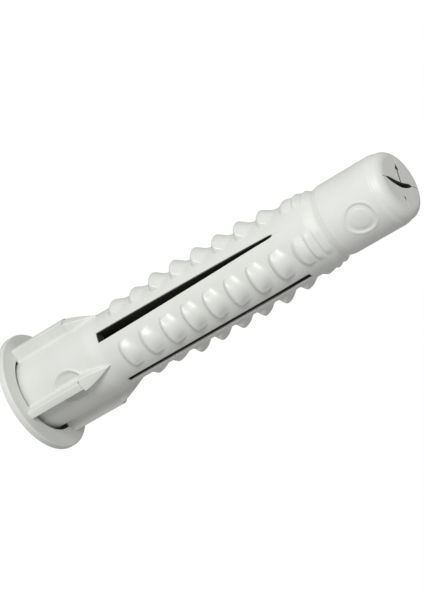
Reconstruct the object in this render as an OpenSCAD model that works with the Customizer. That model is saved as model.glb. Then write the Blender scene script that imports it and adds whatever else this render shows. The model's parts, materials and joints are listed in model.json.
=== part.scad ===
// Four-way expanding wall anchor with a collar, anti-rotation fins and a slit tip.
// Frame: origin at the centre of the collar's outer face, +Z from the collar to the tip.
// The four legs are lettered a, b, c, d and lie on +X, +Y, -X and -Y.

/* [Overall] */
// Length from the collar's outer face to the end of the tip
plug_l = 57.6; // [54:0.2:72]
// Diameter of the neck, which fills the drilled hole
neck_d = 10.4; // [9:0.1:13]
// Bore for the screw, through the collar and the neck
bore_d = 6.6; // [5.4:0.1:7.4]

/* [Collar] */
// Outer diameter of the collar
collar_d = 16.4; // [15:0.1:20]
// Thickness of the collar
collar_t = 0.95; // [0.8:0.05:1.3]
// Radial width of the four arc grooves round the neck, in the collar's tip side
groove_w = 0.55; // [0.3:0.05:0.7]
// Angle that each arc groove spans, in degrees
groove_angle = 66; // [40:1:70]
// Thickness of the collar that is left under the grooves
groove_floor = 0.2; // [0.15:0.05:0.4]
// Bevel on the collar's outer rim
collar_edge = 0.3; // [0.1:0.05:0.35]

/* [Neck] */
// Length of the neck, from the collar's outer face to the start of the slots
neck_l = 13.8; // [12:0.1:16]
// Chamfer at the screw's entry
mouth_chamfer = 0.5; // [0.2:0.1:0.8]
// Diameter of the shallow round mould mark on the neck under fin a
neck_mark_d = 4.4; // [3:0.1:5]
// Height of that mark's centre above the collar's outer face
neck_mark_z = 7.4; // [5:0.1:9]

/* [Fins] */
// Height of the fins above the neck
fin_h = 1.7; // [1.2:0.1:2.2]
// Thickness of the fins
fin_t = 1.05; // [0.8:0.05:1.5]
// Length of the sloping end of a fin
fin_ramp_l = 3.1; // [2:0.1:3.6]
// Length of the barb at the far end of a fin
barb_l = 4.2; // [3.8:0.1:5]
// Width of the barb
barb_w = 1.8; // [1.2:0.1:2.2]
// How much lower than the fin the barb is
barb_drop = 0.2; // [0.1:0.05:0.4]

/* [Legs] */
// Radial step from the neck down to the legs
leg_inset = 0.25; // [0.1:0.05:0.5]
// Bore between the legs at the neck
leg_bore_root_d = 5.8; // [5:0.1:6.2]
// Bore between the legs where they join the tip
leg_bore_tip_d = 4.0; // [3.2:0.1:4.8]
// Length of the slots
slot_l = 27.8; // [26:0.2:34]
// Width of the two wedge-shaped slots at the neck
wedge_slot_w = 1.4; // [0.8:0.05:1.6]
// Width of the two wedge-shaped slots at their far end
wedge_slot_end_w = 0.2; // [0.15:0.05:0.6]
// Width of the two parallel slots
slot_w = 1.0; // [0.6:0.05:1.3]
// Length of leg past the end of the slots, up to the tie ring
leg_end_l = 0.6; // [0.4:0.1:1]

/* [Teeth] */
// Distance from one row of teeth to the next
tooth_pitch = 3.33; // [3:0.01:4]
// Distance from the start of the slots to the first crest
first_crest = 2.9; // [2.4:0.1:3.2]
// Height of the full-height rows above the legs
tooth_h = 1.1; // [0.7:0.05:1.4]
// Height of the first two rows
low_tooth_h = 0.65; // [0.4:0.05:0.7]
// Axial length of the steep side that faces the collar
steep_l = 0.85; // [0.5:0.05:1]
// Axial length of the ramp that faces the tip
ramp_l = 1.95; // [1.6:0.05:2]
// Width of a tooth at its crest
crest_w = 2.6; // [2:0.1:3]
// Width of a tooth at its foot
foot_w = 4.0; // [3.4:0.1:4.4]

/* [Tie ring] */
// Length of the ring that ties the legs' ends, up to the waist
ring_l = 4.7; // [4:0.1:6]
// Distance from the ring's edge to the crest of its own tooth
ring_tooth_lead = 1.14; // [0.9:0.02:1.6]
// Height of the ring's tooth above the legs
ring_tooth_h = 0.45; // [0.3:0.05:0.7]
// Distance between the two small ribs on the ring
rib_pitch = 1.35; // [1:0.05:1.5]
// Height of the first small rib above the legs
rib_h = 0.3; // [0.2:0.05:0.4]

/* [Tip] */
// Outer diameter of the tip barrel
tip_d = 9.34; // [7.78:0.02:11.2]
// Radial taper of the barrel towards its end
tip_taper = 0.22; // [0.1:0.02:0.4]
// Length of that taper
tip_taper_l = 2.6; // [2:0.1:4]
// Radius of the tip's rim
tip_rim_r = 1.2; // [0.8:0.1:1.4]
// Radial depth of the waist between the tie ring and the barrel
waist_drop = 0.22; // [0.1:0.02:0.5]
// Length of the slope from the waist up to the barrel
waist_run = 1.0; // [0.5:0.1:1.5]
// Distance from the corners of the petals' square to the side of the tip
petal_margin = 0.77; // [0.7:0.01:1.2]
// Thickness of the petals
petal_t = 0.8; // [0.5:0.1:1]
// Largest angle that the petals open to, in degrees
petal_open = 35; // [15:1:45]
// Width of the open slit across the petals
wide_slit = 0.56; // [0.3:0.02:0.7]
// Width of the fine slit across the petals
fine_slit = 0.16; // [0.1:0.02:0.3]
// Diameter of the shallow round mould mark on the barrel
tip_mark_d = 4.2; // [3:0.1:5]
// Distance from the tip's end back to that mark's centre
tip_mark_back = 5.8; // [5.2:0.1:7]
// Depth of the mould marks
mark_depth = 0.2; // [0.18:0.01:0.3]

/* [Play] */
// Gap between a leg and the tie ring, which lets the ring draw back as the legs bow
ring_play = 0.1; // [0.08:0.01:0.2]
// Angle of the relief behind the knee of each leg, in degrees
knee_relief = 7.5; // [7:0.5:10]

/* [Hidden] */
$fn = 96;
plastic = [0.87, 0.88, 0.85];

// A hair's breadth for clean cuts, the run-out of a cut past a face, and a length past any piece
eps = 0.01;
run_out = 1;
past_all = 30;

// Radii
neck_r = neck_d / 2;
leg_r = neck_r - leg_inset;
fin_r = neck_r + fin_h;
crest_r = leg_r + tooth_h;
ring_inset = 0.1;
ring_r = leg_r - ring_inset;
tip_r = tip_d / 2;
waist_r = tip_r - waist_drop;
tip_end_r = tip_r - tip_taper;
petal_square = sqrt(2) * (tip_end_r - petal_margin);
petal_ledge = 0.1;
tip_bore_r = petal_square / 2 - petal_ledge;

// Stations along the plug
fin_end_gap = 0.1;
fin_end_z = neck_l - fin_end_gap;
fin_flat_z = fin_end_z - fin_ramp_l;
barb_z = fin_end_z - barb_l;
slot_end_z = neck_l + slot_l;
leg_end_z = slot_end_z + leg_end_l;
leg_stop_z = leg_end_z - ring_play;
waist_z = leg_end_z + ring_l;
barrel_z = waist_z + waist_run;
petal_floor_z = plug_l - petal_t;

// Rows of teeth on the legs, and the knee in the middle of the gap between two rows
crest_z = neck_l + first_crest;
leg_rows = 1 + floor((leg_stop_z - ramp_l - crest_z) / tooth_pitch);
root_rows = floor(leg_rows / 2);
low_rows = 2;
worn_drop = 0.2;
row_gap = tooth_pitch - steep_l - ramp_l;
knee_z = row_z(root_rows - 1) + ramp_l + row_gap / 2;

// Every tooth: a narrow flat on its crest and a foot sunk into the wall
crest_flat = 0.2;
tooth_sink = 0.6;

function angle_of(i) = i * 90;
function row_z(k) = crest_z + k * tooth_pitch;
function row_h(k) = k < low_rows ? low_tooth_h : k < leg_rows - 1 ? tooth_h : tooth_h - worn_drop;
function bore_at(z) = leg_bore_root_d
  + (leg_bore_tip_d - leg_bore_root_d) * (z - neck_l) / (leg_end_z - neck_l);

// Puts a sub-part's +X side at leg or fin number i
module at(i) {
  rotate([0, 0, angle_of(i)])
    children();
}

// A flat outline in (radius, height), stood up at mid-thickness on the +X side
module upright(thickness) {
  rotate([90, 0, 0])
    translate([0, 0, -thickness / 2])
      linear_extrude(thickness)
        children();
}

module collar() {
  collar_r = collar_d / 2;
  color(plastic)
    difference() {
      rotate_extrude()
        polygon([
          [neck_r, 0], [collar_r - collar_edge, 0], [collar_r, collar_edge],
          [collar_r, collar_t - collar_edge / 2], [collar_r - collar_edge / 2, collar_t],
          [neck_r, collar_t]
        ]);
      for (i = [0:3])
        at(i) {
          arc_groove();
          fin_slot();
        }
    }
}

// An arc groove midway between two fins, open to the tip side
module arc_groove() {
  rotate([0, 0, 45 - groove_angle / 2])
    rotate_extrude(angle = groove_angle)
      translate([neck_r - eps, groove_floor])
        square([groove_w + eps, collar_t + run_out]);
}

// The strip of the collar that a fin passes through, down to the outer face
module fin_slot() {
  translate([0, -fin_t / 2, -run_out])
    cube([fin_r, fin_t, collar_t + 2 * run_out]);
}

// The cut of a shallow round mark on the +X side of a wall of outer radius r.
// Its floor follows the wall, mark_depth below the skin.
module mould_mark(r, z, d) {
  difference() {
    translate([0, 0, z])
      rotate([0, 90, 0])
        cylinder(h = past_all, d = d);
    translate([0, 0, z - d])
      cylinder(h = 2 * d, r = r - mark_depth);
  }
}

module neck_sleeve() {
  color(plastic)
    difference() {
      rotate_extrude()
        polygon([
          [bore_d / 2 + mouth_chamfer, 0], [neck_r, 0], [neck_r, neck_l - leg_inset],
          [leg_r, neck_l], [bore_d / 2, neck_l], [bore_d / 2, mouth_chamfer]
        ]);
      difference() {
        mould_mark(neck_r, neck_mark_z, neck_mark_d);
        translate([0, -fin_t / 2, 0])
          cube([past_all, fin_t, neck_l]);
      }
    }
}

// A fin: a web that runs through the collar along the neck, then a lower barb with a pointed end
module fin(i) {
  root_x = neck_r - 1;
  shoulder_l = 1.2;
  point_w = 0.3;
  point_h = 0.15;
  color(plastic)
    at(i)
      difference() {
        union() {
          upright(fin_t)
            polygon([
              [root_x, 0], [fin_r, 0], [fin_r, barb_z], [fin_r - barb_drop, barb_z],
              [fin_r - barb_drop, fin_flat_z], [root_x, fin_flat_z]
            ]);
          intersection() {
            upright(barb_w)
              polygon([
                [root_x, barb_z], [fin_r - barb_drop, barb_z], [fin_r - barb_drop, fin_flat_z],
                [neck_r + point_h, fin_end_z], [root_x, fin_end_z]
              ]);
            rotate([90, 0, 90])
              linear_extrude(2 * fin_r)
                polygon([
                  [-barb_w / 2, barb_z], [barb_w / 2, barb_z],
                  [barb_w / 2, barb_z + shoulder_l], [point_w / 2, fin_end_z + eps],
                  [-point_w / 2, fin_end_z + eps], [-barb_w / 2, barb_z + shoulder_l]
                ]);
          }
        }
        translate([0, 0, -run_out])
          cylinder(h = neck_l + 2 * run_out, r = neck_r);
      }
}

// One row's tooth on the +X side: a saw-tooth ring cut to a key that narrows to the crest
module tooth(z, h) {
  top_r = leg_r + h;
  skin_x = sqrt(leg_r * leg_r - foot_w * foot_w / 4);
  intersection() {
    rotate_extrude()
      polygon([
        [leg_r - tooth_sink, z - steep_l], [leg_r, z - steep_l],
        [top_r, z - crest_flat / 2], [top_r, z + crest_flat / 2],
        [leg_r, z + ramp_l], [leg_r - tooth_sink, z + ramp_l]
      ]);
    translate([0, 0, z - tooth_pitch])
      linear_extrude(2 * tooth_pitch)
        polygon([
          [skin_x - tooth_sink, -foot_w / 2], [skin_x, -foot_w / 2],
          [crest_r + eps, -crest_w / 2], [crest_r + eps, crest_w / 2],
          [skin_x, foot_w / 2], [skin_x - tooth_sink, foot_w / 2]
        ]);
  }
}

// A slot's outline along the plug, cut right across at the given angle
module slot_cut(angle, w0, w1) {
  rotate([0, 0, angle])
    translate([-past_all, 0, 0])
      rotate([90, 0, 90])
        linear_extrude(2 * past_all)
          polygon([
            [-w0 / 2, neck_l - run_out], [w0 / 2, neck_l - run_out], [w0 / 2, neck_l],
            [w1 / 2, slot_end_z], [-w1 / 2, slot_end_z], [-w0 / 2, neck_l]
          ]);
}

// A quarter of the slotted wall on the +X side, with its teeth
module leg_wall(z0, z1, rows) {
  difference() {
    union() {
      rotate([0, 0, -45])
        rotate_extrude(angle = 90)
          polygon([
            [bore_at(z0) / 2, z0], [leg_r, z0],
            [leg_r, z1], [bore_at(z1) / 2, z1]
          ]);
      for (k = rows)
        tooth(row_z(k), row_h(k));
    }
    slot_cut(-45, wedge_slot_w, wedge_slot_end_w);
    slot_cut(45, slot_w, slot_w);
  }
}

// Opposite legs share the same slots, and neighbouring legs have them the other way round
module leg_wall_at(i, z0, z1, rows) {
  if (i % 2 == 0)
    leg_wall(z0, z1, rows);
  else
    mirror([0, 1, 0])
      leg_wall(z0, z1, rows);
}

// The relief behind a knee: a wedge that opens from the leg's outer skin to the bore
module knee_wedge(side) {
  translate([leg_r, 0, knee_z])
    rotate([0, -side * knee_relief, 0])
      translate([-past_all, -past_all / 2, side > 0 ? 0 : -past_all])
        cube(past_all);
}

module leg_root(i) {
  color(plastic)
    at(i)
      difference() {
        leg_wall_at(i, neck_l, knee_z, [0:root_rows - 1]);
        knee_wedge(1);
      }
}

module leg_tip(i) {
  color(plastic)
    at(i)
      difference() {
        leg_wall_at(i, knee_z, leg_stop_z, [root_rows:leg_rows - 1]);
        knee_wedge(-1);
      }
}

// The ring that joins the four legs' ends, with a last tooth and two small ribs over each leg
module leg_tie_ring() {
  shoulder_l = 1.2;
  mouth_l = 1.0;
  rib_lead = 0.66;
  color(plastic)
    union() {
      rotate_extrude()
        polygon([
          [leg_bore_tip_d / 2, leg_end_z], [ring_r, leg_end_z],
          [ring_r, waist_z - shoulder_l], [waist_r, waist_z],
          [tip_bore_r, waist_z], [tip_bore_r, waist_z - mouth_l]
        ]);
      for (i = [0:3])
        at(i) {
          tooth(leg_end_z + ring_tooth_lead, ring_tooth_h);
          small_rib(waist_z - rib_lead - rib_pitch, rib_h);
          small_rib(waist_z - rib_lead, rib_h / 2);
        }
    }
}

// A small rib: a short low tooth with a quick ramp
module small_rib(z, h) {
  rib_steep = 0.35;
  rib_ramp = 0.6;
  rib_w = 3.8;
  intersection() {
    rotate_extrude()
      polygon([
        [leg_r - tooth_sink, z - rib_steep], [ring_r, z - rib_steep],
        [leg_r + h, z], [ring_r, z + rib_ramp], [leg_r - tooth_sink, z + rib_ramp]
      ]);
    translate([0, -rib_w / 2, z - 1])
      cube([2 * leg_r, rib_w, 2]);
  }
}

// Outside of the tip: barrel, slight taper, rounded rim and flat end
module tip_outline() {
  rim_x = tip_end_r - tip_rim_r;
  rim_z = plug_l - tip_rim_r;
  rotate_extrude() {
    polygon([
      [0, waist_z], [waist_r, waist_z], [tip_r, barrel_z], [tip_r, plug_l - tip_taper_l],
      [tip_end_r, rim_z], [rim_x, plug_l - tip_rim_r / 2], [rim_x, plug_l], [0, plug_l]
    ]);
    translate([rim_x, rim_z])
      intersection() {
        circle(tip_rim_r);
        square(2 * tip_rim_r);
      }
  }
}

module tip_barrel() {
  color(plastic)
    difference() {
      tip_outline();
      translate([0, 0, waist_z - run_out])
        cylinder(h = petal_floor_z - waist_z + run_out, r = tip_bore_r);
      translate([-petal_square / 2, -petal_square / 2, petal_floor_z])
        cube([petal_square, petal_square, petal_t + run_out]);
      mould_mark(tip_r, plug_l - tip_mark_back, tip_mark_d);
    }
}

// One petal on the +X side: a triangle with its base on the square's side.
// Its sides lean in towards the floor, so that neighbours clear each other as they open.
module tip_petal(i) {
  lean = petal_t * sin(petal_open);
  // Slit half-widths on the petal's two sides, square to each slit
  right_gap = (i % 2 == 0 ? wide_slit : fine_slit) / sqrt(2);
  left_gap = (i % 2 == 0 ? fine_slit : wide_slit) / sqrt(2);
  color(plastic)
    at(i)
      intersection() {
        tip_outline();
        hull() {
          petal_slice(plug_l + run_out, -lean * run_out / petal_t, right_gap, left_gap);
          petal_slice(petal_floor_z, lean, right_gap, left_gap);
        }
      }
}

module petal_slice(z, inset, right_gap, left_gap) {
  half = petal_square / 2;
  right = right_gap + inset;
  left = left_gap + inset;
  apex_x = (right + left) / 2;
  apex_y = (right - left) / 2;
  translate([0, 0, z])
    linear_extrude(eps)
      polygon([[apex_x, apex_y], [half, right - half], [half, half - left]]);
}

collar();
neck_sleeve();
fin(0);  // fin_a
fin(1);  // fin_b
fin(2);  // fin_c
fin(3);  // fin_d
leg_root(0);  // leg_a_root
leg_root(1);  // leg_b_root
leg_root(2);  // leg_c_root
leg_root(3);  // leg_d_root
leg_tip(0);  // leg_a_tip
leg_tip(1);  // leg_b_tip
leg_tip(2);  // leg_c_tip
leg_tip(3);  // leg_d_tip
leg_tie_ring();
tip_barrel();
tip_petal(0);  // tip_petal_a
tip_petal(1);  // tip_petal_b
tip_petal(2);  // tip_petal_c
tip_petal(3);  // tip_petal_d
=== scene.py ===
import json
import math

import bmesh
import bpy
import numpy as np
from mathutils import Matrix, Vector


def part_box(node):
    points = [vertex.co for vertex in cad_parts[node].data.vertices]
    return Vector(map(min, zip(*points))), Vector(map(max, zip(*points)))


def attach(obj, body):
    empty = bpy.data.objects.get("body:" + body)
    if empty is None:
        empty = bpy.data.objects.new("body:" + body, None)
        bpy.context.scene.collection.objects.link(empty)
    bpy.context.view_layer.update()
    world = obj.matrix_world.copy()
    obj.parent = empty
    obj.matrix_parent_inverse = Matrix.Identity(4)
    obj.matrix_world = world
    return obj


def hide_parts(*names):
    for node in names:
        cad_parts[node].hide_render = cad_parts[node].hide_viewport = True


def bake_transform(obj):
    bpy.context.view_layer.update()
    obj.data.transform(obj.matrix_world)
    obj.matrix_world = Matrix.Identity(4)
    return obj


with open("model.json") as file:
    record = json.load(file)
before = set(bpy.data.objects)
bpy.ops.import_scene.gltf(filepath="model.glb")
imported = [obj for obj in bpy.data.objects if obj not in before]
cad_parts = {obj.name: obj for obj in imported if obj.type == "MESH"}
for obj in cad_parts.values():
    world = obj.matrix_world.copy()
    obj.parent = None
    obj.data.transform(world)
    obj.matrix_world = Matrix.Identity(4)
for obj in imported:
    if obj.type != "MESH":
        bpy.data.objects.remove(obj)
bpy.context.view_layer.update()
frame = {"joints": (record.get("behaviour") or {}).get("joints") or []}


# ---------------------------------------------------------------------------
# The studio: a plain white floor and room that fill the shadows softly, one
# broad key light from +X and -Y, and the camera above +X. The plug stands on
# its collar at z = 0, with legs a, b, c and d on +X, +Y, -X and -Y.
mm = 0.001
plug_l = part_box("tip_barrel")[1].z


def look_matrix(place, forward, up):
    """Camera or light matrix from its place, its forward and its rough up direction."""
    forward = Vector(forward).normalized()
    right = forward.cross(Vector(up)).normalized()
    true_up = right.cross(forward)
    turn = Matrix((right, true_up, -forward)).transposed().to_4x4()
    return Matrix.Translation(place) @ turn


camera_data = bpy.data.cameras.new("camera")
camera_data.sensor_width = 36.0
camera_data.lens = 99.986
camera_data.clip_start = 0.01
camera_data.clip_end = 10.0
camera = bpy.data.objects.new("camera", camera_data)
camera.matrix_world = look_matrix(
    (0.1818091, -0.0538543, 0.1133567),
    (-0.873578, 0.262886, -0.409576),
    (-0.446281, -0.768419, 0.458656),
)
bpy.context.scene.collection.objects.link(camera)
bpy.context.scene.camera = camera


def area_light(name, place, target, size, watts, tint):
    """A square soft box at place that faces target."""
    data = bpy.data.lights.new(name, "AREA")
    data.shape = "SQUARE"
    data.size = size
    data.energy = watts
    data.color = tint
    light = bpy.data.objects.new(name, data)
    aim = Vector(target) - Vector(place)
    light.matrix_world = look_matrix(place, aim, (0.1, 0.2, 1.0))
    bpy.context.scene.collection.objects.link(light)


middle = (0.0, 0.0, 0.5 * plug_l)
area_light("key", place=(0.32, -0.33, 0.195), target=middle, size=0.20, watts=1.72, tint=(1.0, 1.0, 1.0))

floor_half = 1.5
floor_gap = 0.1 * mm
room_glow = 0.38
floor_glow = 0.42


def white_floor():
    """A flat square grid, a small gap under the collar's face at z = 0."""
    ticks = np.linspace(-floor_half, floor_half, 9)
    x, y = np.meshgrid(ticks, ticks, indexing="ij")
    return np.stack([x, y, np.full_like(x, -floor_gap)], axis=-1)


def grid_mesh(name, points, wrap_rows=False, wrap_columns=False, caps=(), sharp=40.0, depth=None):
    """A mesh from a grid of points: each four neighbours make a face, the grid may close on
    itself both ways, and caps names the first or last row to close with one flat face. A grid
    of depths, 0 on the skin to 1 inside, is kept as the mesh's depth attribute, which says where
    the material paints shade. A closed mesh whose signed volume is negative is turned round, so
    that its faces point outwards."""
    rows, columns = points.shape[:2]
    index = np.arange(rows * columns).reshape(rows, columns)
    down = np.roll(index, -1, axis=0) if wrap_rows else index[1:]
    here = index if wrap_rows else index[:-1]
    if wrap_columns:
        quads = np.stack([here, np.roll(here, -1, 1), np.roll(down, -1, 1), down], axis=-1)
    else:
        quads = np.stack([here[:, :-1], here[:, 1:], down[:, 1:], down[:, :-1]], axis=-1)
    faces = quads.reshape(-1, 4).tolist()
    if "first" in caps:
        faces.append(index[0, ::-1].tolist())
    if "last" in caps:
        faces.append(index[-1].tolist())
    mesh = bpy.data.meshes.new(name)
    mesh.from_pydata(points.reshape(-1, 3).tolist(), [], faces)
    shell = bmesh.new()
    shell.from_mesh(mesh)
    if shell.calc_volume(signed=True) < 0.0:
        mesh.flip_normals()
    shell.free()
    if depth is not None:
        kept = mesh.attributes.new("depth", "FLOAT", "POINT")
        every_point = np.broadcast_to(depth, points.shape[:2]).astype(np.float32)
        kept.data.foreach_set("value", every_point.ravel())
    mesh.polygons.foreach_set("use_smooth", np.ones(len(mesh.polygons), bool))
    mesh.set_sharp_from_angle(angle=math.radians(sharp))
    piece = bpy.data.objects.new(name, mesh)
    bpy.context.scene.collection.objects.link(piece)
    return piece


floor = grid_mesh("floor", white_floor())
floor_paper = bpy.data.materials.new("floor_paper")
floor_paper.use_nodes = True


def seen_or_lit(tree, lit):
    """A strength that is 1 where the camera looks straight at a surface and lit elsewhere."""
    ray = tree.nodes.new("ShaderNodeLightPath")
    strength = tree.nodes.new("ShaderNodeMapRange")
    strength.inputs["To Min"].default_value = lit
    strength.inputs["To Max"].default_value = 1.0
    tree.links.new(ray.outputs["Is Camera Ray"], strength.inputs["Value"])
    return strength.outputs["Result"]


paper = floor_paper.node_tree.nodes["Principled BSDF"]
paper.inputs["Base Color"].default_value = (0.02, 0.02, 0.02, 1.0)
paper.inputs["Roughness"].default_value = 0.9
paper.inputs["Emission Color"].default_value = (1.0, 1.0, 1.0, 1.0)
floor_strength = seen_or_lit(floor_paper.node_tree, floor_glow)
floor_paper.node_tree.links.new(floor_strength, paper.inputs["Emission Strength"])
floor.data.materials.append(floor_paper)

world = bpy.data.worlds.new("studio")
world.use_nodes = True
sky = world.node_tree.nodes["Background"]
sky.inputs["Color"].default_value = (1.0, 1.0, 1.0, 1.0)
world.node_tree.links.new(seen_or_lit(world.node_tree, room_glow), sky.inputs["Strength"])
bpy.context.scene.world = world
bpy.context.scene.view_settings.view_transform = "Standard"


# ---------------------------------------------------------------------------
# The finish: light warm-grey polyamide, satin from a fine spark-eroded mould,
# with faint flow clouds. The real nylon has one colour: the near-black tint of
# slots, bores and grooves is painted shade for the dark inside a nearly closed plug.
def nylon_group():
    """Colour, roughness and normal of moulded nylon: wide cloudy mottle in the tint, a fine
    spark-eroded grain and a slower orange-peel ripple in the height. Where the painted-shade
    factor is 1, the colour is the second input, a near-black painted shade."""
    group = bpy.data.node_groups.new("moulded_nylon", "ShaderNodeTree")
    sockets = group.interface
    # The second input is the near-black painted shade for walls of slots and bores; the third says where
    # it is painted
    for title, kind, start in (
        ("Tint", "NodeSocketColor", (0.75, 0.76, 0.73, 1.0)),
        ("Deep Tint", "NodeSocketColor", (0.05, 0.05, 0.045, 1.0)),
        ("Depth", "NodeSocketFloat", 0.0),
        ("Gloss", "NodeSocketFloat", 0.38),
        ("Grain", "NodeSocketFloat", 0.35),
    ):
        sockets.new_socket(title, in_out="INPUT", socket_type=kind).default_value = start
    sockets.new_socket("Color", in_out="OUTPUT", socket_type="NodeSocketColor")
    sockets.new_socket("Roughness", in_out="OUTPUT", socket_type="NodeSocketFloat")
    sockets.new_socket("Normal", in_out="OUTPUT", socket_type="NodeSocketVector")
    nodes, links = group.nodes, group.links
    enter = nodes.new("NodeGroupInput")
    leave = nodes.new("NodeGroupOutput")
    place = nodes.new("ShaderNodeTexCoord")

    def noise(scale, detail, rough):
        node = nodes.new("ShaderNodeTexNoise")
        node.inputs["Scale"].default_value = scale
        node.inputs["Detail"].default_value = detail
        node.inputs["Roughness"].default_value = rough
        links.new(place.outputs["Object"], node.inputs["Vector"])
        return node.outputs["Fac"]

    def ranged(value, low, high, low_to, high_to):
        node = nodes.new("ShaderNodeMapRange")
        node.inputs["From Min"].default_value = low
        node.inputs["From Max"].default_value = high
        node.inputs["To Min"].default_value = low_to
        node.inputs["To Max"].default_value = high_to
        links.new(value, node.inputs["Value"])
        return node.outputs["Result"]

    clouds = noise(260.0, 3.0, 0.55)
    ripple = noise(900.0, 2.0, 0.5)
    grain = noise(9000.0, 2.0, 0.6)

    # Tint: the clouds lighten and darken it by a few hundredths
    shade = nodes.new("ShaderNodeMix")
    shade.data_type = "RGBA"
    shade.blend_type = "MULTIPLY"
    shade.inputs["Factor"].default_value = 1.0
    links.new(enter.outputs["Tint"], shade.inputs["A"])
    grey = nodes.new("ShaderNodeCombineColor")
    for channel, low in (("Red", 0.95), ("Green", 0.955), ("Blue", 0.94)):
        links.new(ranged(clouds, 0.3, 0.7, low, 1.0), grey.inputs[channel])
    links.new(grey.outputs["Color"], shade.inputs["B"])

    # Painted shade: 0 on the skin, 1 on the walls of slots and bores, which take the near-black tint as
    # painted shade
    painted_shade = nodes.new("ShaderNodeMix")
    painted_shade.data_type = "RGBA"
    links.new(enter.outputs["Depth"], painted_shade.inputs["Factor"])
    links.new(shade.outputs["Result"], painted_shade.inputs["A"])
    links.new(enter.outputs["Deep Tint"], painted_shade.inputs["B"])
    links.new(painted_shade.outputs["Result"], leave.inputs["Color"])

    # Roughness: the gloss value, a little rougher on the ripple's crests
    gloss = nodes.new("ShaderNodeMath")
    gloss.operation = "ADD"
    links.new(enter.outputs["Gloss"], gloss.inputs[0])
    links.new(ranged(ripple, 0.3, 0.7, -0.05, 0.07), gloss.inputs[1])
    links.new(gloss.outputs["Value"], leave.inputs["Roughness"])

    # Height: ripple and grain together
    height = nodes.new("ShaderNodeMath")
    height.operation = "MULTIPLY_ADD"
    links.new(grain, height.inputs[0])
    links.new(enter.outputs["Grain"], height.inputs[1])
    links.new(ripple, height.inputs[2])
    bump = nodes.new("ShaderNodeBump")
    bump.inputs["Strength"].default_value = 0.35
    bump.inputs["Distance"].default_value = 0.06 * mm
    links.new(height.outputs["Value"], bump.inputs["Height"])
    links.new(bump.outputs["Normal"], leave.inputs["Normal"])
    return group


nylon_nodes = nylon_group()


def nylon(name, tint, gloss, grain):
    """A nylon material: the shared group's colour, roughness and normal on a Principled shader,
    with near-black painted shade where the mesh's own depth attribute says that a point lies inside the
    plug."""
    material = bpy.data.materials.new(name)
    material.use_nodes = True
    nodes, links = material.node_tree.nodes, material.node_tree.links
    shader = nodes["Principled BSDF"]
    shader.inputs["Specular IOR Level"].default_value = 0.5
    shader.inputs["IOR"].default_value = 1.5
    group = nodes.new("ShaderNodeGroup")
    group.node_tree = nylon_nodes
    group.inputs["Tint"].default_value = (*tint, 1.0)
    group.inputs["Gloss"].default_value = gloss
    group.inputs["Grain"].default_value = grain
    # The depth attribute says where the near-black shade is painted
    depth = nodes.new("ShaderNodeAttribute")
    depth.attribute_name = "depth"
    links.new(depth.outputs["Fac"], group.inputs["Depth"])
    links.new(group.outputs["Color"], shader.inputs["Base Color"])
    links.new(group.outputs["Roughness"], shader.inputs["Roughness"])
    links.new(group.outputs["Normal"], shader.inputs["Normal"])
    return material


body_tint = (0.735, 0.745, 0.715)


# ---------------------------------------------------------------------------
# The collar: a thin round nylon flange that stops the plug at the wall, moulded
# with the neck. Four deep arc grooves round the neck part the two, and leave
# it joined at a web under each fin and by a thin floor.
collar_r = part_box("collar")[1].x
collar_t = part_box("collar")[1].z
neck_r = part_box("neck_sleeve")[1].x
collar_edge = 0.20 * mm
groove_r = neck_r + 0.55 * mm
groove_half = math.radians(35.5)
groove_floor = 0.2 * mm
groove_lip = 0.05 * mm
web_edge = 0.02


def arc(centre, radius, start, end, steps):
    """Points on a circle in the (radius, height) plane from angle start to angle end, degrees."""
    turn = np.radians(np.linspace(start, end, steps))
    return np.stack([centre[0] + radius * np.cos(turn), centre[1] + radius * np.sin(turn)], -1)


def swing(radius, angle, height):
    """Cylinder to frame coordinates: radius and angle about the plug's axis, and height."""
    return np.stack([radius * np.cos(angle), radius * np.sin(angle), height], axis=-1)


def smooth_step(value, low, high):
    """0 below low, 1 above high, and a cubic ease between them."""
    t = np.clip((value - low) / (high - low), 0.0, 1.0)
    return t * t * (3.0 - 2.0 * t)


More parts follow.
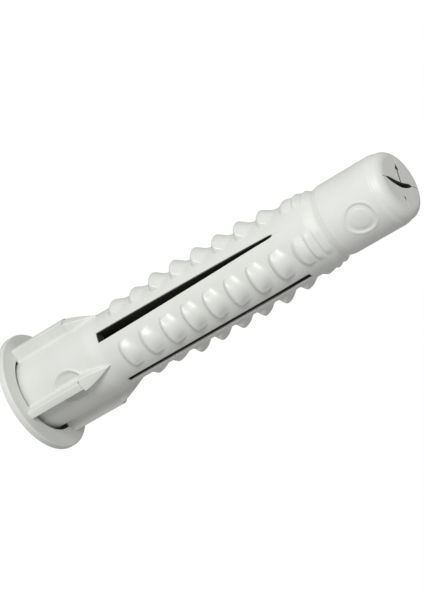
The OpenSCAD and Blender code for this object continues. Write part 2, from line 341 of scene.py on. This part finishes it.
def collar_surface():
    """A closed section carried round the axis: outer face, rounded rim, tip-side face, and the
    groove's wall and floor down to the neck. At the webs the groove's points rise to the
    tip-side face: height = height + (thickness - height) * web."""
    root = neck_r - 0.12 * mm
    ends = (np.arange(4) * math.pi / 2)[:, None] + np.array([-1.0, 1.0]) * (math.pi / 4 - groove_half)
    fine = ends.ravel()[:, None] + np.linspace(-2.5 * web_edge, 2.5 * web_edge, 21)
    angle = np.concatenate([fine.ravel(), np.linspace(0.0, 2 * math.pi, 260)]) % (2 * math.pi)
    angle = np.unique(np.round(angle, 6))
    from_web = np.abs((angle + math.pi / 4) % (math.pi / 2) - math.pi / 4)
    web = 1.0 - smooth_step(from_web, math.pi / 4 - groove_half - web_edge,
                            math.pi / 4 - groove_half + web_edge)
    rim = np.concatenate([
        np.stack([np.linspace(neck_r, collar_r - 0.4 * mm, 8), np.zeros(8)], -1),
        arc((collar_r - collar_edge, collar_edge), collar_edge, 270, 360, 8),
        arc((collar_r - collar_edge, collar_t - collar_edge), collar_edge, 0, 90, 8),
        np.stack([np.linspace(collar_r - 0.4 * mm, groove_r + 0.2 * mm, 7), np.full(7, collar_t)], -1),
    ])
    groove = np.concatenate([
        arc((groove_r + groove_lip, collar_t - groove_lip), groove_lip, 90, 180, 4),
        np.stack([np.full(4, groove_r), np.linspace(0.75 * collar_t, groove_floor, 4)], -1),
        np.stack([np.linspace(groove_r, root, 4)[1:], np.full(3, groove_floor)], -1),
    ])
    radius = np.concatenate([rim[:, 0], groove[:, 0]])
    sunk = groove[None, :, 1] + (collar_t - groove[None, :, 1]) * web[:, None]
    height = np.concatenate([np.broadcast_to(rim[:, 1], (angle.size, len(rim))), sunk], axis=1)
    around = np.broadcast_to(angle[:, None], height.shape)
    points = swing(np.broadcast_to(radius, height.shape), around, height)
    # Painted shade: the groove's walls and floor, up to just below the tip-side face, take the
    # near-black tint
    inside = np.concatenate([np.zeros_like(rim[:, 1]), np.ones(len(groove))])[None, :]
    return points, inside * (1.0 - smooth_step(height, 0.7 * collar_t, 0.97 * collar_t))


collar_points, collar_painted_shade = collar_surface()
collar = grid_mesh("collar_flange", collar_points, wrap_rows=True, wrap_columns=True, depth=collar_painted_shade)
collar.data.materials.append(nylon("nylon_collar", body_tint, gloss=0.42, grain=0.30))
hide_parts("collar")
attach(collar, "plug_head")


# ---------------------------------------------------------------------------
# The neck: the closed nylon sleeve behind the collar, with the screw's bore and
# its chamfered mouth. It eases in to the legs' size where the slots start, and
# a shallow round recess under fin a is the mark of an ejector pin.
hinges = {joint["name"]: joint["pos_m"] for joint in frame["joints"] if "pos_m" in joint}
neck_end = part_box("neck_sleeve")[1].z
leg_r = hinges["leg_a_bow"][0]
bore_r = 3.3 * mm
mouth_chamfer = 0.5 * mm
ease_start = neck_end - 2.2 * mm
neck_mark_z = 7.4 * mm
neck_mark_r = 2.25 * mm


def ring_mark(across, along, mark_r, depth, run, lip, step):
    """Height of a sunken disc: a flat floor at the given depth inside an eased wall of the given
    run at radius mark_r, with a slight raised lip outside it, and a step up again within."""
    away = np.hypot(across, along)
    wall = 1.0 - smooth_step(away, mark_r - run, mark_r + 0.04 * mm)
    inner = 1.0 - smooth_step(away, 0.66 * mark_r - 0.12 * mm, 0.66 * mark_r + 0.12 * mm)
    ridge = np.exp(-(((away - mark_r - 0.16 * mm) / (0.14 * mm)) ** 2))
    return lip * ridge - depth * wall + step * inner


def neck_surface():
    """A closed section carried round the axis: the skin from the collar to the legs, the end
    face, the bore and the chamfer. The skin's rows dip where the mark is."""
    skin_z = np.linspace(0, neck_end, 150)
    skin_r = neck_r - (neck_r - leg_r) * smooth_step(skin_z, ease_start, neck_end)
    face_r = np.linspace(leg_r, bore_r, 8)[1:]
    bore_z = np.linspace(neck_end, mouth_chamfer, 16)[1:]
    section_r = np.concatenate([skin_r, face_r, np.full(bore_z.size, bore_r), [bore_r + mouth_chamfer]])
    section_z = np.concatenate([skin_z, np.full(face_r.size, neck_end), bore_z, [0.0]])
    even = np.linspace(0, 2 * math.pi, 180, endpoint=False)
    near_mark = np.linspace(-0.55, 0.55, 90) % (2 * math.pi)
    angle = np.unique(np.round(np.concatenate([even, near_mark]), 6))
    theta, z = np.meshgrid(angle, section_z, indexing="ij")
    around = (theta + math.pi) % (2 * math.pi) - math.pi
    dip = ring_mark(around * neck_r, z - neck_mark_z, neck_mark_r,
                    depth=0.36 * mm, run=0.42 * mm, lip=0.10 * mm, step=0.0)
    on_skin = (np.arange(section_z.size) < skin_z.size)[None, :]
    radius = section_r[None, :] + dip * on_skin
    # Painted shade: the end face, the bore and any part of the mark's floor that sinks below the legs'
    # radius take the near-black tint
    inside = 1.0 - smooth_step(radius, leg_r - 0.2 * mm, leg_r - 0.08 * mm)
    return swing(radius, theta, z), inside


neck_points, neck_painted_shade = neck_surface()
neck = grid_mesh("neck_shell", neck_points, wrap_rows=True, wrap_columns=True, depth=neck_painted_shade)
neck.data.materials.append(nylon("nylon_neck", body_tint, gloss=0.42, grain=0.35))
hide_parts("neck_sleeve")
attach(neck, "plug_head")


# ---------------------------------------------------------------------------
# The fins: four flat webs, moulded with the neck, that stop the plug turning in
# its hole. Each ties the collar to the neck, steps down to a wider barb and
# ends in a point.
sides = ("a", "b", "c", "d")
fin_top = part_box("fin_a")[1].x
fin_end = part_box("fin_a")[1].z
fin_t = 1.05 * mm
barb_w = 1.8 * mm
barb_z = 9.5 * mm
barb_drop = 0.3 * mm
fin_root = neck_r - 0.5 * mm
fin_fillet = 0.35 * mm
fin_corner = 0.16 * mm
point_half = 0.02 * mm


def fin_surface():
    """A U section with round corners and a filleted foot, carried along the plug. Past the
    step it is wider and lower, and its width and height both fall in an almost straight line:
    width = w (1 - t ** 1.6), height = h (1 - t ** 1.15)."""
    web_z = np.linspace(0.5 * collar_t, barb_z, 24)
    t = np.linspace(0.0, 1.0, 36)
    z = np.concatenate([web_z, barb_z + (fin_end - barb_z) * t])
    half = np.concatenate([np.full(web_z.size, fin_t / 2), barb_w / 2 * (1.0 - t ** 1.6) + point_half])
    rise = np.concatenate([np.full(web_z.size, fin_top - neck_r),
                           (fin_top - barb_drop - neck_r) * (1.0 - t ** 1.15) + point_half])
    top = neck_r + rise
    corner = np.minimum(fin_corner, 0.7 * half)
    fillet = np.minimum(fin_fillet, 0.6 * rise)
    turn = np.linspace(0.0, math.pi / 2, 6)
    right_y = (half - corner)[:, None] + corner[:, None] * np.cos(turn)[None, :]
    right_x = (top - corner)[:, None] + corner[:, None] * np.sin(turn)[None, :]
    foot_y = (half + fillet)[:, None] - fillet[:, None] * np.sin(turn)[None, :]
    foot_x = (neck_r + fillet)[:, None] - fillet[:, None] * np.cos(turn)[None, :]
    foot_x = foot_x - foot_y ** 2 / (2.0 * neck_r) - 0.01 * mm
    under_y, under_x = foot_y[:, :1], np.full((z.size, 1), fin_root)
    y = np.concatenate([under_y, foot_y, right_y, -right_y[:, ::-1], -foot_y[:, ::-1], -under_y], axis=1)
    x = np.concatenate([under_x, foot_x, right_x, right_x[:, ::-1], foot_x[:, ::-1], under_x], axis=1)
    return np.stack([x, y, np.broadcast_to(z[:, None], x.shape)], axis=-1)


def turned(points, side):
    """The same points turned about the axis to the side of leg a, b, c or d."""
    angle = sides.index(side) * math.pi / 2
    c, s = math.cos(angle), math.sin(angle)
    x, y, z = points[..., 0], points[..., 1], points[..., 2]
    return np.stack([c * x - s * y, s * x + c * y, z], axis=-1)


nylon_fin = nylon("nylon_fin", body_tint, gloss=0.42, grain=0.30)
for side in sides:
    fin = grid_mesh(f"fin_web_{side}", turned(fin_surface(), side), wrap_columns=True,
                    caps=("first", "last"), sharp=35.0)
    fin.data.materials.append(nylon_fin)
    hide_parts(f"fin_{side}")
    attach(fin, "plug_head")


# ---------------------------------------------------------------------------
# The legs: the nylon sleeve beyond the neck, split in four by two wedge slots
# and two parallel ones, with saw-tooth rows on each leg's back. The screw bows
# them outwards; each bends at its knee, between the fourth row and the fifth.
knee_z = hinges["leg_a_knee"][2]
ring_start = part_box("leg_tie_ring")[0].z
end_ease = 0.10 * mm
tooth_pitch = 3.33 * mm
first_crest = neck_end + 2.9 * mm
steep_l = 0.85 * mm
ramp_l = 2.40 * mm
crest_half = 1.32 * mm
foot_half = 1.98 * mm
corner_sweep = 0.60 * mm
crest_back = 0.25 * mm
low_tooth = 0.65 * mm
full_tooth = 1.10 * mm
last_tooth = 0.90 * mm
tooth_heights = [low_tooth] * 2 + [full_tooth] * 5 + [last_tooth]
wedge_root_w = 1.41 * mm
wedge_point_z = 41.2 * mm
parallel_w = 1.02 * mm
hair_w = 0.012 * mm
bore_root_r = 2.9 * mm
bore_end_r = 2.0 * mm
slot_edge = 0.09 * mm


def tooth_rise(z, across, crest_at, height):
    """One tooth's height: the smaller, with a soft mitre, of a saw-tooth along the plug and a
    quarter sine across it. The saw-tooth is the smaller, again with a soft mitre, of a straight
    steep face and a ramp between a cosine ease and a hollow power curve. Away from the middle
    the steep face is swept towards the tip, and the ramp gets shorter and more hollow, which
    makes each tooth a round-cornered cushion."""
    swept = z - crest_at - corner_sweep * (np.abs(across) / foot_half) ** 3
    back = np.clip((swept + steep_l) / steep_l, 0.0, 1.0)
    off = np.clip(np.abs(across) / foot_half, 0.0, 1.0) ** 2
    fall = np.clip((z - crest_at + crest_back) / (ramp_l * (1.0 - 0.40 * off)), 0.0, 1.0)
    eased = 0.5 + 0.5 * np.cos(math.pi * fall)
    hollow = (1.0 - fall) ** 1.9
    ramp = eased + (hollow - eased) * np.clip(0.30 + 1.5 * off, 0.0, 1.0)
    ridge = 7.0  # how sharp the crest's mitre is
    both = np.maximum(back, 1e-2) ** -ridge + np.maximum(ramp, 1e-2) ** -ridge
    along = 1.08 * both ** (-1.0 / ridge)
    along = np.minimum(along, 1.3 * np.minimum(back, ramp))
    sideways = np.clip((foot_half - np.abs(across)) / (foot_half - crest_half), 0.0, 1.0)
    sideways = np.sin(0.5 * math.pi * sideways)
    power = 3.0  # how sharp the mitre at the tooth's sides is
    mitre = (np.maximum(along, 1e-3) ** -power + np.maximum(sideways, 1e-3) ** -power) / 2.0
    rise = np.minimum(mitre ** (-1.0 / power), np.minimum(along, sideways) * 1.26)
    crown = 1.0 - 0.08 * (across / crest_half) ** 2
    return height * rise * np.where((along > 0) & (sideways > 0), crown, 0.0)


def leg_skin(z, across):
    """Radius of a leg's back: the plain sleeve, eased down over the last 6 mm to the tie ring's
    radius, plus its teeth."""
    skin = leg_r - end_ease * smooth_step(z, ring_start - 6 * mm, ring_start)
    for row, height in enumerate(tooth_heights):
        skin = skin + tooth_rise(z, across, first_crest + row * tooth_pitch, height)
    return skin


def slot_halves(z):
    """Half widths of the wedge slot and of the parallel slot at a height. The wedge narrows as
    w (1 - 0.74 run ** 1.45) and has a blunt elliptic end. Past it the legs part by a hair."""
    run = np.clip((z - neck_end) / (wedge_point_z - neck_end), 0.0, 1.0)
    blunt = np.sqrt(1.0 - np.clip((run - 0.97) / 0.03, 0.0, 1.0) ** 2)
    wedge = wedge_root_w * (1.0 - 0.74 * run ** 1.45) * blunt
    return 0.5 * np.maximum(wedge, hair_w), np.full_like(z, 0.5 * parallel_w)


def leg_surface(z, mirrored):
    """A closed section carried along the leg: its toothed back between two slots, the slots'
    flat walls, and the bore. The wedge slot is on the -Y side unless the leg is mirrored."""
    wedge, parallel = slot_halves(z)
    bore = bore_root_r + (bore_end_r - bore_root_r) * (z - neck_end) / (ring_start - neck_end)
    low_edge = -math.pi / 4 + np.arcsin(wedge / leg_r)
    high_edge = math.pi / 4 - np.arcsin(parallel / leg_r)
    round_turn = np.linspace(0.0, math.pi / 2, 5)
    high_in = slot_edge * (1.0 - np.cos(round_turn))[None, :] / leg_r
    high_drop = np.broadcast_to(slot_edge * (1.0 - np.sin(round_turn)), (z.size, round_turn.size))
    open_share = smooth_step(wedge, 0.5 * hair_w, 5.0 * hair_w)[:, None]
    low_in, low_drop = high_in * open_share, high_drop * open_share
    even = np.linspace(0.0, 1.0, 74)[1:-1]
    start, stop = low_edge + low_in[:, -1], high_edge - high_in[:, -1]
    back = np.concatenate([low_edge[:, None] + low_in,
                           start[:, None] + (stop - start)[:, None] * even[None, :],
                           high_edge[:, None] - high_in[:, ::-1]], axis=1)
    drop = np.concatenate([low_drop, np.zeros((z.size, even.size)), high_drop[:, ::-1]], axis=1)
    radius = leg_skin(z[:, None], leg_r * np.sin(back)) - drop
    low_bore = -math.pi / 4 + np.arcsin(wedge / bore)
    high_bore = math.pi / 4 - np.arcsin(parallel / bore)
    around = np.linspace(0.0, 1.0, 14)
    inner = high_bore[:, None] + (low_bore - high_bore)[:, None] * around[None, :]
    outer_points = np.stack([radius * np.cos(back), radius * np.sin(back)], axis=-1)
    inner_points = np.stack([bore[:, None] * np.cos(inner), bore[:, None] * np.sin(inner)], axis=-1)
    wall = np.array([0.05, 0.11, 0.35, 0.70])[None, :, None]
    high_wall = outer_points[:, -1:] + (inner_points[:, :1] - outer_points[:, -1:]) * wall
    back_up = 1.0 - wall[:, ::-1]
    low_wall = inner_points[:, -1:] + (outer_points[:, :1] - inner_points[:, -1:]) * back_up
    loop = np.concatenate([outer_points, high_wall, inner_points, low_wall], axis=1)
    if mirrored:
        loop = loop[:, ::-1] * np.array([1.0, -1.0])
    height = np.broadcast_to(z[:, None], loop.shape[:2])
    return np.concatenate([loop, height[..., None]], axis=-1)


def leg_painted_shade(points):
    """Where a leg's shade is painted: 0 on the leg's skin and 1 from 0.3 mm below it inwards, with an
    ease between, so that slot walls and bore take the near-black tint.
    """
    radius = np.hypot(points[..., 0], points[..., 1])
    return 1.0 - smooth_step(radius, leg_r - 0.30 * mm, leg_r - 0.14 * mm)


def leg_heights(start, end):
    """Rows along a leg: even, with extra rows at each crest and each steep face's foot."""
    crests = first_crest + tooth_pitch * np.arange(len(tooth_heights))
    extra = np.concatenate([crests, crests - steep_l, crests - steep_l - 0.01 * mm,
                            crests - 0.3 * steep_l, crests - 0.6 * steep_l, crests + ramp_l])
    even = np.arange(start, end, 0.115 * mm)
    rows = np.concatenate([even, extra[(extra > start) & (extra < end)], [end]])
    return np.unique(np.round(rows, 7))


nylon_leg = nylon("nylon_leg", body_tint, gloss=0.33, grain=0.35)
root_rows = leg_heights(neck_end - 0.5 * mm, knee_z)
tip_rows = leg_heights(knee_z, ring_start)
for side in sides:
    mirrored = side in ("b", "d")
    root_points = turned(leg_surface(root_rows, mirrored), side)
    root = grid_mesh(f"leg_{side}_root_bar", root_points, wrap_columns=True,
                     caps=("first", "last"), sharp=50.0, depth=leg_painted_shade(root_points))
    root.data.materials.append(nylon_leg)
    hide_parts(f"leg_{side}_root")
    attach(root, f"leg_{side}_root")
    tip_points = turned(leg_surface(tip_rows, mirrored), side)
    tip = grid_mesh(f"leg_{side}_tip_bar", tip_points, wrap_columns=True,
                    caps=("first", "last"), sharp=50.0, depth=leg_painted_shade(tip_points))
    tip.data.materials.append(nylon_leg)
    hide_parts(f"leg_{side}_tip")
    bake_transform(tip)


# ---------------------------------------------------------------------------
# The tie ring: the closed nylon sleeve that holds the four legs' ends together.
# It carries a last low tooth and two small ribs over each leg, then necks in
# to the waist.
waist_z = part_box("leg_tie_ring")[1].z
tip_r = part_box("tip_barrel")[1].x
ring_r = leg_r - end_ease
ring_tooth_z = ring_start + 1.14 * mm
ring_tooth = 0.47 * mm
waist_r = tip_r - 0.22 * mm
hollow_r = 2.5 * mm
rib_places = ((waist_z - 2.01 * mm, 0.30 * mm), (waist_z - 0.78 * mm, 0.22 * mm))


def ring_surface():
    """A closed section carried round the axis: bore, end faces and skin. The skin is the plain
    ring, necked in by a cubic ease to the waist, plus the tooth and the ribs over each leg."""
    skin_z = np.linspace(ring_start, waist_z, 84)
    theta = np.linspace(0, 2 * math.pi, 384, endpoint=False)
    angle, z = np.meshgrid(theta, skin_z, indexing="ij")
    across = leg_r * np.sin((angle + math.pi / 4) % (math.pi / 2) - math.pi / 4)
    skin = ring_r - (ring_r - waist_r) * smooth_step(z, waist_z - 1.5 * mm, waist_z + 0.1 * mm)
    skin = skin + tooth_rise(z, across, ring_tooth_z, ring_tooth)
    for rib_z, rib_h in rib_places:
        wave = np.where(z < rib_z, smooth_step(z, rib_z - 0.45 * mm, rib_z),
                        1.0 - smooth_step(z, rib_z, rib_z + 0.75 * mm))
        wide = 1.0 - smooth_step(np.abs(across), 1.2 * mm, 2.3 * mm)
        skin = skin + rib_h * wave * wide
    top_r = np.linspace(waist_r, hollow_r, 5)[1:]
    bore_z = np.linspace(waist_z, ring_start, 12)[1:]
    bore_line = hollow_r + (bore_end_r - hollow_r) * (waist_z - bore_z) / (waist_z - ring_start)
    low_r = np.linspace(bore_end_r, ring_r, 6)[1:-1]
    rest_r = np.concatenate([top_r, bore_line, low_r])
    rest_z = np.concatenate([np.full(top_r.size, waist_z), bore_z, np.full(low_r.size, ring_start)])
    radius = np.concatenate([skin, np.broadcast_to(rest_r, (theta.size, rest_r.size))], axis=1)
    height = np.concatenate([z, np.broadcast_to(rest_z, (theta.size, rest_z.size))], axis=1)
    # Painted shade: the end faces and the bore take the near-black tint, the skin doesn't
    inside = np.concatenate([np.zeros(skin_z.size), np.ones(rest_r.size)])
    return swing(radius, np.broadcast_to(theta[:, None], radius.shape), height), inside


ring_points, ring_painted_shade = ring_surface()
tie_ring = grid_mesh("tie_ring_sleeve", ring_points, wrap_rows=True, wrap_columns=True,
                     depth=ring_painted_shade[None, :])
tie_ring.data.materials.append(nylon("nylon_ring", body_tint, gloss=0.50, grain=0.35))
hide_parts("leg_tie_ring")
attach(tie_ring, "plug_tip")


# ---------------------------------------------------------------------------
# The tip barrel: the smooth nylon end that enters the hole first. A shallow
# ring on its side is an ejector pin's mark. Its end is trimmed a little off
# square, and a square opening in it holds the four petals.
petal_half = hinges["petal_a_open"][0]
parting_z = waist_z + 0.65 * mm
barrel_start = waist_z + 1.0 * mm
taper_start = plug_l - 2.6 * mm
end_r = tip_r - 0.22 * mm
rim_r = 1.15 * mm
petal_t = 0.8 * mm
tip_mark_z = plug_l - 5.8 * mm
tip_mark_r = 1.9 * mm
trim_start = plug_l - 3.4 * mm
trim_slope = 0.15
trim_angle = math.radians(-16.5)


def trimmed(points):
    """Tilts the end: past trim_start, heights drop by trim_slope times the distance along
    trim_angle, with an ease, so that the end is a plane a little off square."""
    x, y, z = points[..., 0], points[..., 1], points[..., 2]
    along = x * math.cos(trim_angle) + y * math.sin(trim_angle)
    drop = trim_slope * (along + end_r)
    share = smooth_step(z, trim_start, plug_l - petal_t)
    return np.stack([x, y, z - drop * share], axis=-1)


def end_height(radius):
    """Height of the tip's end at a radius: flat, then falling along the rim's quarter circle."""
    past = np.clip(radius - (end_r - rim_r), 0.0, rim_r)
    return plug_l - rim_r + np.sqrt(rim_r ** 2 - past ** 2)


def barrel_surface():
    """The outside carried round the axis from waist to rim, then the end face drawn in to the
    petals' square, down its walls, and back inside along the hollow."""
    even = np.linspace(0, 2 * math.pi, 240, endpoint=False)
    near_mark = np.linspace(-0.6, 0.6, 100) % (2 * math.pi)
    square_corners = (np.arange(4) + 0.5) * math.pi / 2
    theta = np.unique(np.round(np.concatenate([even, near_mark, square_corners]), 6))
    low_z = np.linspace(waist_z, barrel_start, 22)
    low_r = waist_r + (tip_r - waist_r) * smooth_step(low_z, waist_z - 0.1 * mm, barrel_start)
    low_r = low_r - 0.035 * mm * np.exp(-(((low_z - parting_z) / (0.09 * mm)) ** 2))
    mid_z = np.linspace(barrel_start, taper_start, 74)[1:]
    rim_z = plug_l - rim_r
    slope_z = np.linspace(taper_start, rim_z, 10)[1:]
    slope_r = tip_r - (tip_r - end_r) * ((slope_z - taper_start) / (rim_z - taper_start)) ** 1.6
    rim = arc((end_r - rim_r, rim_z), rim_r, 0, 90, 16)[1:]
    out_z = np.concatenate([low_z, mid_z, slope_z, rim[:, 1]])
    out_r = np.concatenate([low_r, np.full(mid_z.size, tip_r), slope_r, rim[:, 0]])
    angle, z = np.meshgrid(theta, out_z, indexing="ij")
    around = (angle + math.pi) % (2 * math.pi) - math.pi
    mark = ring_mark(around * tip_r, z - tip_mark_z, tip_mark_r,
                     depth=0.14 * mm, run=0.22 * mm, lip=0.04 * mm, step=0.05 * mm)
    radius = out_r[None, :] + mark
    outside = swing(radius, angle, z)
    fold = np.maximum(np.abs(np.cos(theta)), np.abs(np.sin(theta)))
    square_r = petal_half / fold
    square = swing(square_r, theta, end_height(square_r))

    # The square's corners reach into the rim, so the rim's rows stop at them
    rim_rows = slice(-rim.shape[0], None)
    rim_radius = np.maximum(radius[:, rim_rows], square_r[:, None])
    rim_height = np.where(rim_radius > radius[:, rim_rows], end_height(rim_radius), z[:, rim_rows])
    outside[:, rim_rows] = swing(rim_radius, angle[:, rim_rows], rim_height)
    share = np.linspace(0.0, 1.0, 6)[None, 1:, None]
    face = outside[:, -1:] + (square[:, None] - outside[:, -1:]) * share
    ledge_z = plug_l - petal_t
    ledge = swing(square_r, theta, np.full(theta.size, ledge_z))
    wall_share = np.array([0.33, 0.66, 1.0])[None, :, None]
    wall = square[:, None] + (ledge - square)[:, None] * wall_share
    inner_angle, inner_z = np.meshgrid(theta, np.linspace(ledge_z, waist_z, 12), indexing="ij")
    inner = swing(np.full_like(inner_z, hollow_r), inner_angle, inner_z)
    # Painted shade: the square's walls and the hollow take the near-black tint; the skin and end face
    # don't
    skin = np.zeros(outside.shape[1] + face.shape[1])
    inside = np.ones(wall.shape[1] + inner.shape[1])
    points = np.concatenate([outside, face, wall, inner], axis=1)
    return trimmed(points), np.concatenate([skin, inside])


barrel_points, barrel_painted_shade = barrel_surface()
barrel = grid_mesh("tip_barrel_shell", barrel_points, wrap_rows=True, wrap_columns=True, sharp=38.0,
                   depth=barrel_painted_shade[None, :])
nylon_tip = nylon("nylon_tip", body_tint, gloss=0.44, grain=0.35)
barrel.data.materials.append(nylon_tip)
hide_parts("tip_barrel")
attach(barrel, "plug_tip")


# ---------------------------------------------------------------------------
# The petals: four nylon triangles that close the tip, cut apart along the
# square's diagonals. A long screw pushes them open; each bends along its base,
# which is moulded to the barrel. One diagonal has sprung open into a lens.
lens_w = 0.74 * mm
lens_sag = 0.42 * mm
lens_reach = {"near": 0.82, "far": 0.62}
fine_w = 0.22 * mm
fine_hole = 0.24 * mm
small_hole = 0.14 * mm
hair_slit = 0.02 * mm
petal_lip = 0.05 * mm


def slit_half(reach, corner):
    """Half width of the slit from the centre (reach 0) to a corner (reach 1) of the square.
    The two wide arms make one lens, the fine one ends in a small round hole, and the fourth
    is closed to a hair but for a smaller hole."""
    if corner in lens_reach:
        share = np.clip(1.0 - (reach / lens_reach[corner]) ** 4, 0.0, 1.0)
        return 0.5 * lens_w * np.sqrt(share) + hair_slit / 2
    if corner == "fine":
        hole = fine_hole * np.exp(-(((reach - 0.60) / 0.07) ** 2))
        return 0.5 * fine_w * (1.0 - smooth_step(reach, 0.60, 0.66)) + hole + hair_slit / 2
    return small_hole * np.exp(-(((reach - 0.62) / 0.06) ** 2)) + hair_slit / 2


def slit_sag(reach, corner):
    """How far the lens bends towards petals a and b: most at the centre, none at its ends."""
    if corner not in lens_reach:
        return np.zeros_like(reach)
    return lens_sag * np.clip(1.0 - (reach / lens_reach[corner]) ** 2, 0.0, 1.0)


# Slits on a petal's right and left, seen from the axis, and the side the lens bends to
petal_slits = {"a": ("near", "hair", 1), "b": ("hair", "far", 1),
               "c": ("far", "fine", -1), "d": ("fine", "near", -1)}


def petal_surface(right, left, bend):
    """A closed section carried from the base to the point: a strip between the two diagonals,
    less half a slit on each side, as thick as the petal and level with the tip's end."""
    root_two = math.sqrt(2.0)

    def gap(reach, corner):
        return slit_half(reach, corner) + bend * slit_sag(reach, corner)

    origin = np.zeros(1)
    apex = float((gap(origin, right) + gap(origin, left))[0]) / root_two
    x = petal_half + (apex - petal_half) * np.linspace(0.0, 1.0, 60) ** 0.9 * 0.999
    reach = np.clip(x / petal_half, 0.0, 1.0)
    right_y = -x + root_two * gap(reach, right)
    left_y = x - root_two * gap(reach, left)
    middle_y, half_y = 0.5 * (right_y + left_y), np.maximum(0.5 * (left_y - right_y), 0.0005 * mm)
    right_y, left_y = middle_y - half_y, middle_y + half_y
    inset = np.minimum(petal_lip, 0.4 * half_y)
    columns = 16
    across = np.linspace(0.0, 1.0, columns)
    top_y = (right_y + inset)[:, None] + (left_y - right_y - 2 * inset)[:, None] * across[None, :]
    y = np.concatenate([right_y[:, None], top_y, left_y[:, None], left_y[:, None],
                        top_y[:, ::-1], right_y[:, None]], axis=1)
    x = np.broadcast_to(x[:, None], y.shape)
    top = end_height(np.hypot(x, y))
    below = np.concatenate([[petal_lip], np.zeros(columns), [petal_lip]])
    underside = np.full((len(y), below.size), plug_l - petal_t)
    z = np.concatenate([top[:, :below.size] - below, underside], axis=1)
    # Painted shade: the slit-side walls and the underside take the near-black tint
    depth = np.concatenate([[1.0], np.zeros(columns), [1.0], np.ones(below.size)])
    return np.stack([x, y, z], axis=-1), depth


nylon_petal = nylon("nylon_petal", body_tint, gloss=0.44, grain=0.35)
for side in sides:
    outline, petal_painted_shade = petal_surface(*petal_slits[side])
    outline = trimmed(turned(outline, side))
    petal = grid_mesh(f"petal_{side}_flap", outline, wrap_columns=True, caps=("first", "last"),
                      sharp=50.0, depth=petal_painted_shade[None, :])
    petal.data.materials.append(nylon_petal)
    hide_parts(f"tip_petal_{side}")
    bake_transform(petal)
